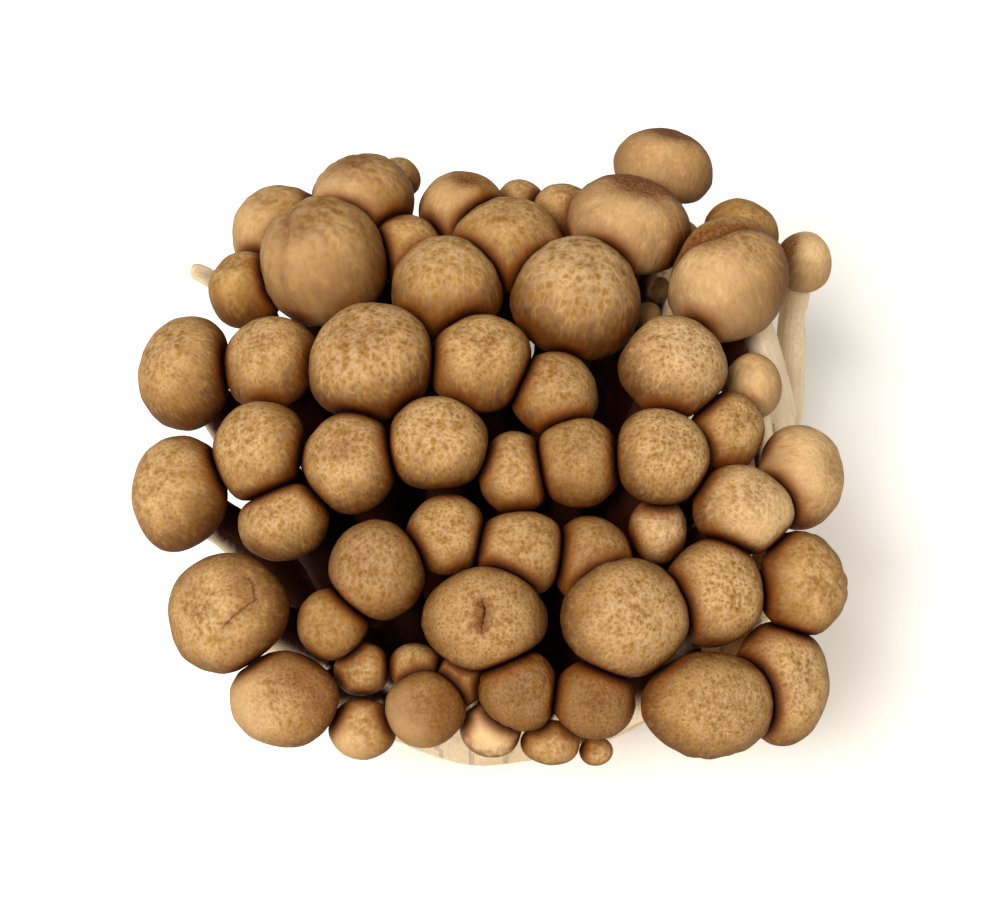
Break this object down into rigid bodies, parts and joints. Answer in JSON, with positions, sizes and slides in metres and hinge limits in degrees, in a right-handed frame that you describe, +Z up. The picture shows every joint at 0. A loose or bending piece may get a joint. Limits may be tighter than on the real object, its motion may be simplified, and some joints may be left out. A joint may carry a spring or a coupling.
{
  "type": "beech mushroom cluster",
  "caption": "Cut cluster of brown beech mushrooms: rounded tan caps with gills beneath, on ivory stems fanning out of one fleshy base that stands on its flat cut face.",
  "frame": {"origin": "middle of the flat cut face at the foot of the base", "axes": "+Z up out of the base towards the caps, -Y towards the lower front rows, +X to the right seen from the front"},
  "size_m": [0.1003, 0.1, 0.0697],
  "materials": {
    "cap_skin": "matte hazel-brown skin with a fine net of paler veins between darker specks",
    "stem_flesh": "matte ivory flesh, faintly fibrous along the stems"
  },
  "bodies": {
    "root": {"base_stems_and_gills": "stem_flesh", "cap_front_1": "cap_skin", "cap_front_2": "cap_skin", "cap_front_3": "cap_skin", "cap_front_4": "cap_skin", "cap_front_5": "cap_skin", "cap_front_6": "cap_skin", "cap_front_7": "cap_skin", "cap_front_8": "cap_skin", "cap_front_9": "cap_skin", "cap_front_10": "cap_skin", "cap_front_11": "cap_skin", "cap_front_12": "cap_skin", "cap_front_13": "cap_skin", "cap_front_14": "cap_skin", "cap_front_15": "cap_skin", "cap_front_16": "cap_skin", "cap_front_17": "cap_skin", "cap_right_1": "cap_skin", "cap_right_2": "cap_skin", "cap_right_3": "cap_skin", "cap_right_4": "cap_skin", "cap_right_5": "cap_skin", "cap_right_6": "cap_skin", "cap_right_7": "cap_skin", "cap_right_8": "cap_skin", "cap_right_9": "cap_skin", "cap_right_10": "cap_skin", "cap_right_11": "cap_skin", "cap_back_1": "cap_skin", "cap_back_2": "cap_skin", "cap_back_3": "cap_skin", "cap_back_4": "cap_skin", "cap_back_5": "cap_skin", "cap_back_6": "cap_skin", "cap_back_7": "cap_skin", "cap_back_8": "cap_skin", "cap_back_9": "cap_skin", "cap_back_10": "cap_skin", "cap_back_11": "cap_skin", "cap_back_12": "cap_skin", "cap_back_13": "cap_skin", "cap_back_14": "cap_skin", "cap_back_15": "cap_skin", "cap_left_1": "cap_skin", "cap_left_2": "cap_skin", "cap_left_3": "cap_skin", "cap_left_4": "cap_skin", "cap_left_5": "cap_skin", "cap_middle_1": "cap_skin", "cap_middle_2": "cap_skin", "cap_middle_3": "cap_skin", "cap_middle_4": "cap_skin", "cap_middle_5": "cap_skin", "cap_middle_6": "cap_skin", "cap_middle_7": "cap_skin", "cap_middle_8": "cap_skin", "cap_middle_9": "cap_skin", "cap_middle_10": "cap_skin", "cap_middle_11": "cap_skin"}
  },
  "joints": []
}
